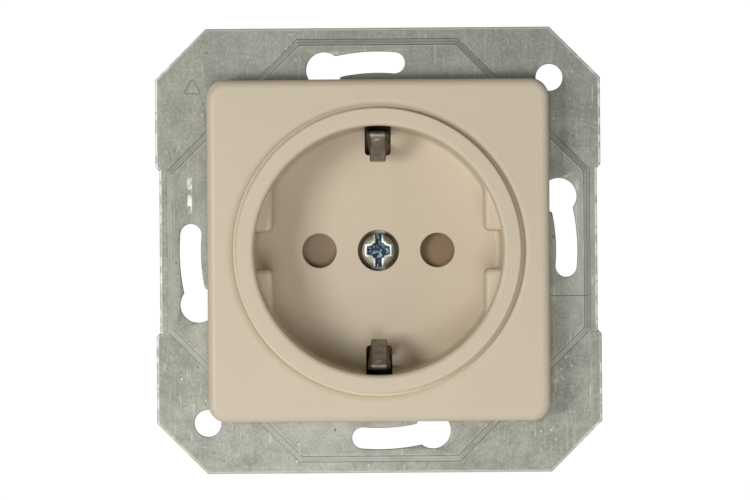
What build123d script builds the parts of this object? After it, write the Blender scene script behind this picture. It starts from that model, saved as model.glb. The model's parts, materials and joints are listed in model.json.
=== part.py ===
from build123d import *
from math import cos, radians, sin, tan
import os

# Earthed single wall socket insert with side earth clips, in millimetres.
#
# Frame: +X to the right and +Z up, seen from the room. The room is on the -Y side.
# Y = 0 is the wall surface, which the rim of the support plate lies on.
# The origin is on the axis of the round plug recess. Depths are Y values.

# ---------------------------------------------------------------- driving dimensions
PLATE_WIDTH = 71.0
PLATE_SHEET = 1.0
PLATE_CHAMFER = 8.1
NOTCH_DEPTH = 0.6
NOTCH_HALF = 12.9
PANEL_RISE = 0.9
PANEL_FOOT_HALF = 33.7
PANEL_TOP_HALF = 32.75
PANEL_FOOT_SUM = 46.5
PANEL_TOP_SUM = 45.2
PANEL_BEND_DEG = 43.5           # slope of the pressed step round the raised panel
PLATE_OPENING_R = 21.6
WALL_HOLE_R = 2.15
WALL_HOLE_AT = 27.4
SLOT_CIRCLE_R = 30.0
SLOT_HALF = 1.7
SLOT_END_R = 2.85
SLOT_NARROW_DEG = 174.8
SLOT_WIDE_DEG = 196.4

COVER_WIDTH = 54.2
COVER_CORNER_R = 3.0
COVER_EDGE_R = 1.3
COVER_FRONT = -8.6
COVER_THICK = 2.0
COVER_WALL = 1.8
FLANGE_FRONT = -10.0
FLANGE_R = 22.55
SEAT_R = 23.05
SEAT_DEPTH = 0.4
RIM_R = 19.75
FLOOR_R = 19.6
CUP_OUTER_R = 21.2
FLOOR_FRONT = 7.5
FLOOR_THICK = 1.6

PIN_SPACING = 19.0
PIN_HOLE_R = 2.75
PAD_CHORD = 16.85
PAD_GAP_HALF = 3.0
PAD_FRONT = -5.5
SLIT_HALF = 2.1                 # slits in the recess for the earth clips
SLIT_INNER = 15.3
SLIT_OUTER = 21.4
SLIT_CORNER_R = 0.6
CHANNEL_WALL = 0.9
CUP_WALL = 1.5
RIM_EASE = 0.45                 # rounding of the rim's two edges
PAD_LENGTH = 8.5
PAD_CORNER_R = 1.0
WALL_BITE = 0.4                 # how far a guide pad runs into the recess wall

BASE_WIDTH = 43.0
BASE_CORNER_R = 7.0
BASE_WALL = 1.8
BASE_FRONT = 12.6
BASE_FRONT_WALL = 2.6
BASE_BACK = 30.0
REAR_THICK = 1.8
POST_AT = 17.2
POST_R = 2.5
POST_HOLE_R = 1.7
POST_SCREW_R = 1.4
POST_BORE_FRONT = -1.0
POST_BORE_BACK = 10.0

STRAP_SHEET = 1.0
TERMINAL_PITCH = 12.0
TERMINAL_Y = 23.4
TONGUE_TOP = -12.6
TONGUE_HALF = 2.4
FIT = 0.05                      # radial clearance of a running fit
FREE = 0.15                     # radial clearance of a free hole
LOOSE = 0.4                     # clearance round the cup's channels
SCREW_R = 1.75                  # M3.5 thread

# ---------------------------------------------------------------- worked-out places
PANEL_FRONT = -PLATE_SHEET - PANEL_RISE
PANEL_BACK = PANEL_FRONT + PLATE_SHEET
COVER_BACK = PANEL_FRONT - FIT
COVER_INSIDE = COVER_FRONT + COVER_THICK
FLANGE_BACK = COVER_FRONT + SEAT_DEPTH
FLOOR_BACK = FLOOR_FRONT + FLOOR_THICK
CHAMBER_R = CUP_OUTER_R - CUP_WALL
CHANNEL_HALF = SLIT_HALF + CHANNEL_WALL
CHANNEL_OUTER = SLIT_OUTER + CHANNEL_WALL
CHAMBER_BACK = BASE_FRONT - 0.1
BOSS_R = 4.9
COUNTERBORE_R = 3.3
COUNTERBORE_DEPTH = 2.4
STAKE_R = 1.2
STAKE_AT = 11.5
CARRIER_BACK = BASE_FRONT - 0.1
CARRIER_FRONT = CARRIER_BACK - 0.6
CARRIER_R = 13.4
SHUTTER_FRONT = FLOOR_BACK + 0.2
SHUTTER_BACK = 11.0
STRAP_BACK = BASE_FRONT + STRAP_SHEET
CHAMBER_FRONT = BASE_FRONT + BASE_FRONT_WALL
REAR_BACK = BASE_BACK + REAR_THICK
TERMINALS = {"line": -TERMINAL_PITCH, "earth": 0.0, "neutral": TERMINAL_PITCH}
SIDES = {"line": -1, "neutral": 1}


def at_depth(y):
    """The sketch plane at depth y: its x is X, its y is Z, and it faces the room."""
    return Plane.XZ.offset(-y)


def polar(radius, degrees):
    """A point of the front view from its distance and angle round the recess axis."""
    return (radius * cos(radians(degrees)), radius * sin(radians(degrees)))


def write(piece, name):
    """Label a finished piece and write its STEP file."""
    piece.part.label = name
    export_step(piece.part, f"parts/{name}.step")


def octagon(half, diagonal_sum):
    """A square of half width half, whose corners are cut where |x| + |z| = diagonal_sum."""
    cut = diagonal_sum - half
    corners = [(half, cut), (cut, half), (-cut, half), (-half, cut)]
    corners += [(-x, -z) for x, z in corners]
    return Polygon(*corners, align=None)


def bent_strip(points, thickness):
    """A strip section of even thickness along the points of its middle line."""
    with BuildLine() as middle:
        Polyline(*points)
        offset(amount=thickness / 2, side=Side.BOTH, kind=Kind.ARC)
    make_face(middle.edges())


os.makedirs("parts", exist_ok=True)

# ---------------------------------------------------------------- steel support plate
panel_creep = PLATE_SHEET * tan(radians(PANEL_BEND_DEG) / 2)      # how far a bend moves in through the sheet
with BuildPart() as support_plate:
    with BuildSketch(at_depth(0)) as outline:
        Rectangle(PLATE_WIDTH, PLATE_WIDTH)
        chamfer(outline.vertices(), PLATE_CHAMFER)
        for side in (-1, 1):
            edge = side * PLATE_WIDTH / 2
            inner = edge - side * NOTCH_DEPTH
            notch = [(edge, -NOTCH_HALF - NOTCH_DEPTH), (inner, -NOTCH_HALF)]
            notch += [(inner, NOTCH_HALF), (edge, NOTCH_HALF + NOTCH_DEPTH)]
            Polygon(*notch, align=None, mode=Mode.SUBTRACT)
    extrude(amount=PLATE_SHEET)
    with BuildSketch(at_depth(-PLATE_SHEET)):
        octagon(PANEL_FOOT_HALF, PANEL_FOOT_SUM)
    with BuildSketch(at_depth(PANEL_FRONT)):
        octagon(PANEL_TOP_HALF, PANEL_TOP_SUM)
    loft(ruled=True)
    with BuildSketch(at_depth(0)):
        octagon(PANEL_FOOT_HALF - panel_creep, PANEL_FOOT_SUM - panel_creep * 2 ** 0.5)
    with BuildSketch(at_depth(PANEL_BACK)):
        octagon(PANEL_TOP_HALF - panel_creep, PANEL_TOP_SUM - panel_creep * 2 ** 0.5)
    loft(ruled=True, mode=Mode.SUBTRACT)
    with BuildSketch(at_depth(0)):
        Circle(PLATE_OPENING_R)
        Rectangle(2 * (CHANNEL_HALF + LOOSE), 2 * (CHANNEL_OUTER + LOOSE))
        with Locations((WALL_HOLE_AT, WALL_HOLE_AT), (-WALL_HOLE_AT, -WALL_HOLE_AT)):
            Circle(WALL_HOLE_R)
        with GridLocations(2 * POST_AT, 2 * POST_AT, 2, 2):
            Circle(POST_HOLE_R)
        for quarter in range(4):
            narrow = SLOT_NARROW_DEG + 90 * quarter
            wide = SLOT_WIDE_DEG + 90 * quarter
            with BuildLine():
                CenterArc((0, 0), SLOT_CIRCLE_R - SLOT_HALF, narrow, wide - narrow)
                CenterArc((0, 0), SLOT_CIRCLE_R + SLOT_HALF, narrow, wide - narrow)
                for degrees in (narrow, wide):
                    Line(polar(SLOT_CIRCLE_R - SLOT_HALF, degrees), polar(SLOT_CIRCLE_R + SLOT_HALF, degrees))
            make_face()
            with Locations(polar(SLOT_CIRCLE_R, narrow)):
                Circle(SLOT_HALF)
            with Locations(polar(SLOT_CIRCLE_R, wide)):
                Circle(SLOT_END_R)
    extrude(amount=2 * (PLATE_SHEET + PANEL_RISE), mode=Mode.SUBTRACT)
write(support_plate, "support_plate")

# ---------------------------------------------------------------- moulded cover plate
with BuildPart() as cover_plate:
    with BuildSketch(at_depth(COVER_BACK)):
        RectangleRounded(COVER_WIDTH, COVER_WIDTH, COVER_CORNER_R)
    extrude(amount=COVER_BACK - COVER_FRONT)
    fillet(cover_plate.faces().sort_by(Axis.Y)[0].edges(), COVER_EDGE_R)
    inside = COVER_WIDTH - 2 * COVER_WALL
    with BuildSketch(at_depth(COVER_BACK)):
        RectangleRounded(inside, inside, COVER_CORNER_R - COVER_WALL)
    extrude(amount=COVER_BACK - COVER_INSIDE, mode=Mode.SUBTRACT)
    # the seat that the cup's flange lies in, and the hole for the cup and its channels
    with BuildSketch(at_depth(FLANGE_BACK)):
        Circle(SEAT_R)
    extrude(amount=FLANGE_BACK - COVER_FRONT, mode=Mode.SUBTRACT)
    with BuildSketch(at_depth(COVER_INSIDE)):
        Circle(CUP_OUTER_R + FREE + FIT)
        Rectangle(2 * (CHANNEL_HALF + FREE), 2 * (CHANNEL_OUTER + FREE))
    extrude(amount=COVER_THICK, mode=Mode.SUBTRACT)
write(cover_plate, "cover_plate")

# ---------------------------------------------------------------- cup with the plug recess
with BuildPart() as socket_cup:
    # the cup in section: flange, wall, shutter chamber and floor
    with BuildSketch(Plane.XY) as cup_section:
        with BuildLine():
            Polyline(
                (0, FLOOR_FRONT), (FLOOR_R, FLOOR_FRONT), (RIM_R, FLANGE_FRONT), (FLANGE_R, FLANGE_FRONT),
                (FLANGE_R, FLANGE_BACK), (CUP_OUTER_R, FLANGE_BACK), (CUP_OUTER_R, CHAMBER_BACK),
                (CHAMBER_R, CHAMBER_BACK), (CHAMBER_R, FLOOR_BACK), (0, FLOOR_BACK), close=True,
            )
        make_face()
        fillet(cup_section.vertices().group_by(Axis.Y)[0], RIM_EASE)
    revolve(axis=Axis.Y)
    # a closed channel outside the wall, above and below, for the legs of the earth clips
    with BuildSketch(at_depth(CHAMBER_BACK)):
        Rectangle(2 * CHANNEL_HALF, 2 * CHANNEL_OUTER)
        Circle(CUP_OUTER_R - 0.5, mode=Mode.SUBTRACT)
    extrude(amount=CHAMBER_BACK - COVER_INSIDE)
    # four guide pads on the recess wall, left and right
    with BuildSketch(at_depth(FLOOR_FRONT)) as pads:
        pad_width = CUP_OUTER_R - PAD_CHORD
        with GridLocations(2 * PAD_CHORD + pad_width, 2 * PAD_GAP_HALF + PAD_LENGTH, 2, 2):
            Rectangle(pad_width, PAD_LENGTH)
        Circle(RIM_R + WALL_BITE, mode=Mode.INTERSECT)
        pad_corners = pads.vertices().filter_by(lambda v: Vector(v.X, v.Y).length < PAD_CHORD + 1)
        fillet(pad_corners, PAD_CORNER_R)
    extrude(amount=FLOOR_FRONT - PAD_FRONT)
    # boss and stakes behind the floor
    with BuildSketch(at_depth(CHAMBER_BACK)):
        Circle(BOSS_R)
        with Locations((0, STAKE_AT), (0, -STAKE_AT)):
            Circle(STAKE_R)
    extrude(amount=CHAMBER_BACK - FLOOR_BACK)
    # screw seat, pin holes and the slits for the earth clips
    with BuildSketch(at_depth(FLOOR_FRONT + COUNTERBORE_DEPTH)):
        Circle(COUNTERBORE_R)
    extrude(amount=COUNTERBORE_DEPTH, mode=Mode.SUBTRACT)
    with BuildSketch(at_depth(CHAMBER_BACK)):
        Circle(SCREW_R + FREE)
    extrude(amount=CHAMBER_BACK - FLOOR_FRONT, mode=Mode.SUBTRACT)
    with BuildSketch(at_depth(FLOOR_BACK)):
        with GridLocations(PIN_SPACING, 0, 2, 1):
            Circle(PIN_HOLE_R)
    extrude(amount=FLOOR_THICK, mode=Mode.SUBTRACT)
    with BuildSketch(at_depth(BASE_FRONT)) as slits:
        with GridLocations(0, SLIT_OUTER + SLIT_INNER, 1, 2):
            Rectangle(2 * SLIT_HALF, SLIT_OUTER - SLIT_INNER)
        fillet(slits.vertices().filter_by(lambda v: abs(v.Y) < SLIT_INNER + 1), SLIT_CORNER_R)
    extrude(amount=BASE_FRONT - COVER_INSIDE, mode=Mode.SUBTRACT)
write(socket_cup, "socket_cup")

# ---------------------------------------------------------------- shutter behind the pin holes
WING_R = 12.7
WING_HALF_DEG = 18.5
HUB_R = BOSS_R + 1.4
RAMP_DROP = 1.2
RAMP_HALF = 4.6
PEG_R = 0.6
PEG_AT = 8.2
PEG_LENGTH = 0.75
with BuildPart() as shutter:
    with BuildSketch(at_depth(SHUTTER_BACK)) as wings:
        Circle(WING_R)
        for side in (0, 180):
            with BuildLine():
                Polyline(
                    (0, 0), polar(2 * WING_R, side + WING_HALF_DEG), polar(2 * WING_R, side + 90),
                    polar(2 * WING_R, side + 180 - WING_HALF_DEG), close=True,
                )
            make_face(mode=Mode.SUBTRACT)
        Circle(HUB_R)
        Circle(BOSS_R + FIT, mode=Mode.SUBTRACT)
    extrude(amount=SHUTTER_BACK - SHUTTER_FRONT)
    # a ramp across each wing turns the push of a plug pin into a turn of the shutter
    for side in (-1, 1):
        with BuildSketch(Plane.YZ.offset(side * (HUB_R + 0.2))):
            ramp = [(SHUTTER_FRONT - 1, -RAMP_HALF * side), (SHUTTER_FRONT, -RAMP_HALF * side)]
            ramp += [(SHUTTER_FRONT + RAMP_DROP, RAMP_HALF * side), (SHUTTER_FRONT - 1, RAMP_HALF * side)]
            Polygon(*ramp, align=None)
        extrude(amount=side * WING_R, mode=Mode.SUBTRACT)
    with BuildSketch(at_depth(SHUTTER_BACK + PEG_LENGTH)):
        with Locations(polar(PEG_AT, 0)):
            Circle(PEG_R)
    extrude(amount=PEG_LENGTH)
write(shutter, "shutter")

coil_r = 5.6
wire = 0.5
leg_length = 3.0
with BuildPart() as shutter_spring:
    with BuildSketch(at_depth(SHUTTER_BACK + FREE + wire)):
        Circle(coil_r + wire / 2)
        Circle(coil_r - wire / 2, mode=Mode.SUBTRACT)
        with BuildLine():
            Polyline((0, 0), polar(12, -5), polar(12, 40), polar(12, 85), close=True)
        make_face(mode=Mode.SUBTRACT)
        # one leg reaches the cup's stake, the other bears on the shutter's peg
        with Locations((0, (coil_r + STAKE_AT - STAKE_R) / 2)):
            Rectangle(wire, STAKE_AT - STAKE_R - coil_r)
        with Locations((coil_r + leg_length / 2, -PEG_R - wire / 2 - FIT)):
            Rectangle(leg_length, wire)
    extrude(amount=wire)
write(shutter_spring, "shutter_spring")

with BuildPart() as shutter_carrier:
    with BuildSketch(at_depth(CARRIER_BACK)):
        Circle(CARRIER_R)
        Circle(BOSS_R + FIT, mode=Mode.SUBTRACT)
        with GridLocations(PIN_SPACING, 0, 2, 1):
            Circle(PIN_HOLE_R + FREE, mode=Mode.SUBTRACT)
        with Locations((0, STAKE_AT), (0, -STAKE_AT)):
            Circle(STAKE_R + FIT, mode=Mode.SUBTRACT)
    extrude(amount=CARRIER_BACK - CARRIER_FRONT)
write(shutter_carrier, "shutter_carrier")

# ---------------------------------------------------------------- insulating base and its rear cover
WIRE_HOLE_R = 1.7
WIRE_Z = -10.8
REAR_SCREWS = [(-16.4, 16.4), (16.4, 16.4), (-6.0, -16.9), (6.0, -16.9)]
REAR_SCREW_R = 1.15
REAR_BORE = 9.0
PILLAR_R = {"upper": 2.8, "lower": 1.9}
PARTITION_X = 6.0
PARTITION_WALL = 1.2
STRAP_HUB_R = 6.0
STRAP_WIDTH = 5.0
STRAP_LENGTH = 38.0
TERMINAL_HOLE_R = 2.7
base_inside = BASE_WIDTH - 2 * BASE_WALL
with BuildPart() as socket_base:
    with BuildSketch(at_depth(BASE_BACK)):
        RectangleRounded(BASE_WIDTH, BASE_WIDTH, BASE_CORNER_R)
    extrude(amount=BASE_BACK - BASE_FRONT)
    with BuildSketch(at_depth(BASE_BACK)) as chambers:
        RectangleRounded(base_inside, base_inside, BASE_CORNER_R - BASE_WALL)
        with GridLocations(2 * PARTITION_X, 0, 2, 1):
            Rectangle(PARTITION_WALL, base_inside, mode=Mode.SUBTRACT)
        with Locations(*REAR_SCREWS[:2]):
            Circle(PILLAR_R["upper"], mode=Mode.SUBTRACT)
        with Locations(*REAR_SCREWS[2:]):
            Circle(PILLAR_R["lower"], mode=Mode.SUBTRACT)
    extrude(amount=BASE_BACK - CHAMBER_FRONT, mode=Mode.SUBTRACT)
    with BuildSketch(at_depth(BASE_FRONT)):
        with GridLocations(2 * POST_AT, 2 * POST_AT, 2, 2):
            Circle(POST_R)
    extrude(amount=BASE_FRONT - PANEL_BACK)
    with BuildSketch(at_depth(POST_BORE_BACK)):
        with GridLocations(2 * POST_AT, 2 * POST_AT, 2, 2):
            Circle(POST_SCREW_R + FIT)
    extrude(amount=POST_BORE_BACK - POST_BORE_FRONT, mode=Mode.SUBTRACT)
    with BuildSketch(at_depth(BASE_BACK)):
        with Locations(*REAR_SCREWS):
            Circle(REAR_SCREW_R + FIT)
    extrude(amount=REAR_BORE, mode=Mode.SUBTRACT)
    # seat of the earth strap, slot for its tongue, screw hole and pin holes
    with BuildSketch(at_depth(STRAP_BACK)):
        Circle(STRAP_HUB_R + 2 * FIT)
        Rectangle(STRAP_WIDTH + 4 * FIT, STRAP_LENGTH + 4 * FIT)
    extrude(amount=STRAP_SHEET, mode=Mode.SUBTRACT)
    with BuildSketch(at_depth(CHAMBER_FRONT)):
        Circle(SCREW_R + FREE + 4 * FIT)
        with GridLocations(PIN_SPACING, 0, 2, 1):
            Circle(PIN_HOLE_R + FREE)
        with Locations((0, TONGUE_TOP - STRAP_SHEET / 2)):
            Rectangle(2 * TONGUE_HALF + 4 * FIT, STRAP_SHEET + 4 * FIT)
    extrude(amount=BASE_FRONT_WALL, mode=Mode.SUBTRACT)
    # holes in the lower wall for the terminal screws
    with BuildSketch(Plane.XY.offset(-BASE_WIDTH / 2 - 0.1)):
        with Locations(*[(x, TERMINAL_Y) for x in TERMINALS.values()]):
            Circle(TERMINAL_HOLE_R)
    extrude(amount=BASE_WALL + 0.2, mode=Mode.SUBTRACT)
write(socket_base, "socket_base")

REAR_CHAMFER = 0.6
REST_FOOT = 28.0                # the rests reach forward to this depth
with BuildPart() as rear_cover:
    with BuildSketch(at_depth(REAR_BACK)):
        RectangleRounded(BASE_WIDTH, BASE_WIDTH, BASE_CORNER_R)
    extrude(amount=REAR_THICK)
    chamfer(rear_cover.faces().sort_by(Axis.Y)[-1].edges(), REAR_CHAMFER)
    # rests that press on the two contact bars
    with BuildSketch(at_depth(BASE_BACK)):
        with Locations((-PIN_SPACING / 2, 0.8), (PIN_SPACING / 2, 0.8)):
            Rectangle(3.6, 5.0)
    extrude(amount=BASE_BACK - REST_FOOT)
    with BuildSketch(at_depth(REAR_BACK)):
        with Locations(*[(x, WIRE_Z) for x in TERMINALS.values()]):
            Circle(WIRE_HOLE_R)
        with Locations(*REAR_SCREWS):
            Circle(REAR_SCREW_R + FREE)
    extrude(amount=REAR_THICK, mode=Mode.SUBTRACT)
write(rear_cover, "rear_cover")


DRIVE_WIDTH = 0.7               # slot of the small screws


def screws(places, head_face, head_r, head_height, shank_r, shank_length, towards_room):
    """Slotted screws along Y at places; head_face is the depth under the heads."""
    way = 1 if towards_room else -1
    with BuildPart() as group:
        with BuildSketch(at_depth(head_face)):
            with Locations(*places):
                Circle(head_r)
        extrude(amount=way * head_height)
        with BuildSketch(at_depth(head_face)):
            with Locations(*places):
                Circle(shank_r)
        extrude(amount=-way * shank_length)
        top = head_face - way * head_height
        with BuildSketch(at_depth(top)):
            with Locations(*places):
                Rectangle(2 * head_r, DRIVE_WIDTH)
                Rectangle(DRIVE_WIDTH, 1.4 * head_r)
        extrude(amount=-way * 0.5 * head_height, mode=Mode.SUBTRACT)
    return group


post_places = [(x, z) for x in (-POST_AT, POST_AT) for z in (-POST_AT, POST_AT)]
write(screws(post_places, PANEL_FRONT, 2.5, 1.5, POST_SCREW_R, 11.0, True), "base_screws")
write(screws(REAR_SCREWS, REAR_BACK, 2.2, 1.3, REAR_SCREW_R, 10.0, False), "rear_cover_screws")

# ---------------------------------------------------------------- earth strap and clips
TONGUE_BACK = 26.5
with BuildPart() as earth_strap:
    with BuildSketch(at_depth(STRAP_BACK)):
        Circle(STRAP_HUB_R)
        Rectangle(STRAP_WIDTH, STRAP_LENGTH)
        Circle(SCREW_R + FIT, mode=Mode.SUBTRACT)
    extrude(amount=STRAP_SHEET)
    with BuildSketch(at_depth(TONGUE_BACK)):
        with Locations((0, TONGUE_TOP - STRAP_SHEET / 2)):
            Rectangle(2 * TONGUE_HALF, STRAP_SHEET)
    extrude(amount=TONGUE_BACK - STRAP_BACK)
write(earth_strap, "earth_strap")

CLIP_SHEET = 0.6
CLIP_WIDTH = 3.6
CLIP_NOSE_WIDTH = 2.6
CLIP_TAPER_FROM = 18.0          # |z| where the strip starts to narrow, and where it is at its nose width
CLIP_TAPER_TO = 15.4
CLIP_REACH = 20.0
CLIP_ROUTE = [
    (12.3, 17.2), (12.3, 18.55), (11.9, 18.65), (-4.4, 18.75), (-5.0, 18.5), (-4.7, 18.0),
    (-0.6, 15.1), (0.9, 14.35), (2.4, 14.6), (5.6, 16.6),
]
for name, side in (("earth_clip_top", 1), ("earth_clip_bottom", -1)):
    with BuildPart() as earth_clip:
        with BuildSketch(Plane.YZ.offset(-CLIP_WIDTH / 2)):
            bent_strip([(y, side * z) for y, z in CLIP_ROUTE], CLIP_SHEET)
        extrude(amount=CLIP_WIDTH)
        # seen from the front, the strip narrows towards its nose
        with BuildSketch(at_depth(BASE_FRONT)):
            half_front = [(CLIP_WIDTH / 2, CLIP_REACH), (CLIP_WIDTH / 2, CLIP_TAPER_FROM)]
            half_front += [(CLIP_NOSE_WIDTH / 2, CLIP_TAPER_TO), (CLIP_NOSE_WIDTH / 2, 0)]
            whole_front = half_front + [(-x, z) for x, z in reversed(half_front)]
            Polygon(*[(x, side * z) for x, z in whole_front], align=None)
        extrude(amount=BASE_FRONT - FLANGE_FRONT, mode=Mode.INTERSECT)
    write(earth_clip, name)

# ---------------------------------------------------------------- line and neutral contacts
BAR_FRONT = 27.2
BAR_BACK = 28.0
LEAF_SHEET = 0.5
LEAF_ROUTE = [(BAR_FRONT - LEAF_SHEET / 2, 3.5), (24.0, 3.3), (20.2, 2.45), (18.2, 2.4), (16.2, 3.5)]
for name, side in SIDES.items():
    with BuildPart() as contact:
        with BuildSketch(at_depth(BAR_BACK)):
            with Locations((side * PIN_SPACING / 2, 0)):
                Rectangle(5.0, 7.8)
            with Locations((side * 8.4, (TONGUE_TOP - STRAP_SHEET) / 2)):
                Rectangle(2.8, STRAP_SHEET - TONGUE_TOP)
        extrude(amount=BAR_BACK - BAR_FRONT)
        tongue_z = TONGUE_TOP - STRAP_SHEET / 2
        with Locations((side * 10.7, 27.4, tongue_z)):
            Box(7.4, 1.2, STRAP_SHEET)
        with Locations((side * TERMINAL_PITCH, 23.4, tongue_z)):
            Box(2 * TONGUE_HALF, 6.8, STRAP_SHEET)
    write(contact, f"{name}_contact")
    for place, up in (("upper", 1), ("lower", -1)):
        with BuildPart() as leaf:
            with BuildSketch(Plane.YZ.offset(side * PIN_SPACING / 2 - 2.4)):
                bent_strip([(y, up * z) for y, z in LEAF_ROUTE], LEAF_SHEET)
            extrude(amount=4.8)
        write(leaf, f"{name}_leaf_{place}")

# ---------------------------------------------------------------- rising-cage terminals
CAGE_WALL = 1.1
CAGE_DEPTH = 5.8
CAGE_TOP = -7.8
CAGE_INSIDE_TOP = -9.0
CAGE_INSIDE_FOOT = -13.9
CAGE_FOOT = -16.1
CAGE_PLAY = 0.3                 # between the cage and its tongue, each side
HEAD_FOOT = -21.2
HEAD_TOP = -19.2
TERMINAL_HEAD_R = 2.4
TERMINAL_DRIVE = 0.8
TERMINAL_DRIVE_DEPTH = 1.0
for name, x in TERMINALS.items():
    with BuildPart() as clamp:
        with Locations((x, TERMINAL_Y, (CAGE_TOP + CAGE_FOOT) / 2)):
            Box(2 * (TONGUE_HALF + CAGE_PLAY + CAGE_WALL), CAGE_DEPTH, CAGE_TOP - CAGE_FOOT)
        with Locations((x, TERMINAL_Y, (CAGE_INSIDE_TOP + CAGE_INSIDE_FOOT) / 2)):
            cage_inside = CAGE_INSIDE_TOP - CAGE_INSIDE_FOOT
            Box(2 * (TONGUE_HALF + CAGE_PLAY), CAGE_DEPTH, cage_inside, mode=Mode.SUBTRACT)
        with BuildSketch(Plane.XY.offset(CAGE_FOOT)):
            with Locations((x, TERMINAL_Y)):
                Circle(SCREW_R + FIT)
        extrude(amount=CAGE_INSIDE_FOOT - CAGE_FOOT, mode=Mode.SUBTRACT)
    write(clamp, f"{name}_clamp")
    with BuildPart() as terminal_screw:
        with BuildSketch(Plane.XY.offset(HEAD_FOOT)):
            with Locations((x, TERMINAL_Y)):
                Circle(TERMINAL_HEAD_R)
        extrude(amount=HEAD_TOP - HEAD_FOOT)
        with BuildSketch(Plane.XY.offset(HEAD_TOP)):
            with Locations((x, TERMINAL_Y)):
                Circle(SCREW_R)
        extrude(amount=TONGUE_TOP - STRAP_SHEET - FIT - HEAD_TOP)
        with BuildSketch(Plane.XY.offset(HEAD_FOOT)):
            with Locations((x, TERMINAL_Y)):
                Rectangle(2 * TERMINAL_HEAD_R, TERMINAL_DRIVE)
                Rectangle(TERMINAL_DRIVE, 1.25 * TERMINAL_HEAD_R)
        extrude(amount=TERMINAL_DRIVE_DEPTH, mode=Mode.SUBTRACT)
    write(terminal_screw, f"{name}_screw")

# ---------------------------------------------------------------- centre screw of the cover
HEAD_R = 2.7
HEAD_FRONT = FLOOR_FRONT + 0.45
HEAD_BACK = FLOOR_FRONT + COUNTERBORE_DEPTH - 0.1
HEAD_EASE = 0.4
SCREW_END = 20.0
DRIVE_SLOT = 1.0
DRIVE_ARM = 3.7
DRIVE_DEPTH = 1.0
with BuildPart() as cover_screw:
    with BuildSketch(at_depth(HEAD_BACK)):
        Circle(HEAD_R)
    extrude(amount=HEAD_BACK - HEAD_FRONT)
    fillet(cover_screw.edges().sort_by(Axis.Y)[0], HEAD_EASE)
    with BuildSketch(at_depth(SCREW_END)):
        Circle(SCREW_R)
    extrude(amount=SCREW_END - HEAD_BACK)
    with BuildSketch(at_depth(HEAD_FRONT + DRIVE_DEPTH)):
        Rectangle(DRIVE_SLOT, 2 * HEAD_R)
        Rectangle(DRIVE_ARM, DRIVE_SLOT)
    extrude(amount=2 * DRIVE_DEPTH, mode=Mode.SUBTRACT)
write(cover_screw, "cover_screw")
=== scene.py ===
import json
from math import acos, asin, atan2, pi, radians, sqrt

import bmesh
import bpy
import numpy as np
from mathutils.geometry import delaunay_2d_cdt
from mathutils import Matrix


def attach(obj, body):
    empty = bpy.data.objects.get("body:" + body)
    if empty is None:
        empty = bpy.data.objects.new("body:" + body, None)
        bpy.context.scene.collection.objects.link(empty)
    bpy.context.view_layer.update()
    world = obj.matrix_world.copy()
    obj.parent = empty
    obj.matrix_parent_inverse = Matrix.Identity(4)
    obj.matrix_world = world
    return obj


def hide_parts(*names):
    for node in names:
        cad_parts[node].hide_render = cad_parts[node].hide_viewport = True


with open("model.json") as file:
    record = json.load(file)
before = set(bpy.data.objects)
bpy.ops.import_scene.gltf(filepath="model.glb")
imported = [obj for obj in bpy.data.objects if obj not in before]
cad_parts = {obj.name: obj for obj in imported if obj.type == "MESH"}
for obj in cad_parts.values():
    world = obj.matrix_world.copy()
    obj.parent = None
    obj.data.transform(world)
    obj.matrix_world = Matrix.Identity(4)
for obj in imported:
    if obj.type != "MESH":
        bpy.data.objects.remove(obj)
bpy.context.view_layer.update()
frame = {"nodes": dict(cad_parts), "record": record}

MM = 0.001
WELD = 2e-6

# ---------------------------------------------------------------- camera and light
# a long lens, nearly square on to the face and rolled by a small tilt
CAMERA_PLACE = (-0.00056, -0.8065, 0.00006)
CAMERA_TILT = radians(0.42)
GLOOM, BACKDROP = 0.11, 1.02
camera = bpy.data.objects.new("camera", bpy.data.cameras.new("camera"))
camera.data.lens = 242.5
camera.data.sensor_width = 36.0
camera.data.clip_end = 20.0
camera.location = CAMERA_PLACE
camera.rotation_euler = (pi / 2, CAMERA_TILT, 0)
bpy.context.scene.collection.objects.link(camera)
bpy.context.scene.camera = camera
bpy.context.scene.view_settings.view_transform = "Standard"


def soft_light(name, place, size, watts):
    """A square soft box at place, facing the socket."""
    lamp = bpy.data.lights.new(name, "AREA")
    lamp.energy = watts
    lamp.size = size
    box = bpy.data.objects.new(name, lamp)
    box.location = place
    towards = -np.array(place, float)
    across = np.hypot(towards[0], towards[1])
    box.rotation_euler = (pi / 2 + atan2(towards[2], across), 0, atan2(towards[1], towards[0]) - pi / 2)
    bpy.context.scene.collection.objects.link(box)


soft_light("key_left", (-0.31, -0.58, -0.03), 0.19, 1.75)
soft_light("fill_right", (0.85, -0.70, -0.05), 0.40, 0.9)
soft_light("front_soft", (0.02, -0.78, -0.19), 0.24, 1.27)
soft_light("back_soft", (-0.5, 0.9, 0.6), 0.8, 12.0)

world = bpy.data.worlds.new("studio")
world.use_nodes = True
bpy.context.scene.world = world
sky = world.node_tree
sky.nodes["Background"].inputs["Color"].default_value = (GLOOM, GLOOM, GLOOM, 1)
seen = sky.nodes.new("ShaderNodeBackground")
seen.inputs["Color"].default_value = (1, 1, 1, 1)
seen.inputs["Strength"].default_value = BACKDROP
which = sky.nodes.new("ShaderNodeMixShader")
sky.links.new(sky.nodes.new("ShaderNodeLightPath").outputs["Is Camera Ray"], which.inputs[0])
sky.links.new(sky.nodes["Background"].outputs[0], which.inputs[1])
sky.links.new(seen.outputs[0], which.inputs[2])
sky.links.new(which.outputs[0], sky.nodes["World Output"].inputs["Surface"])


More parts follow.
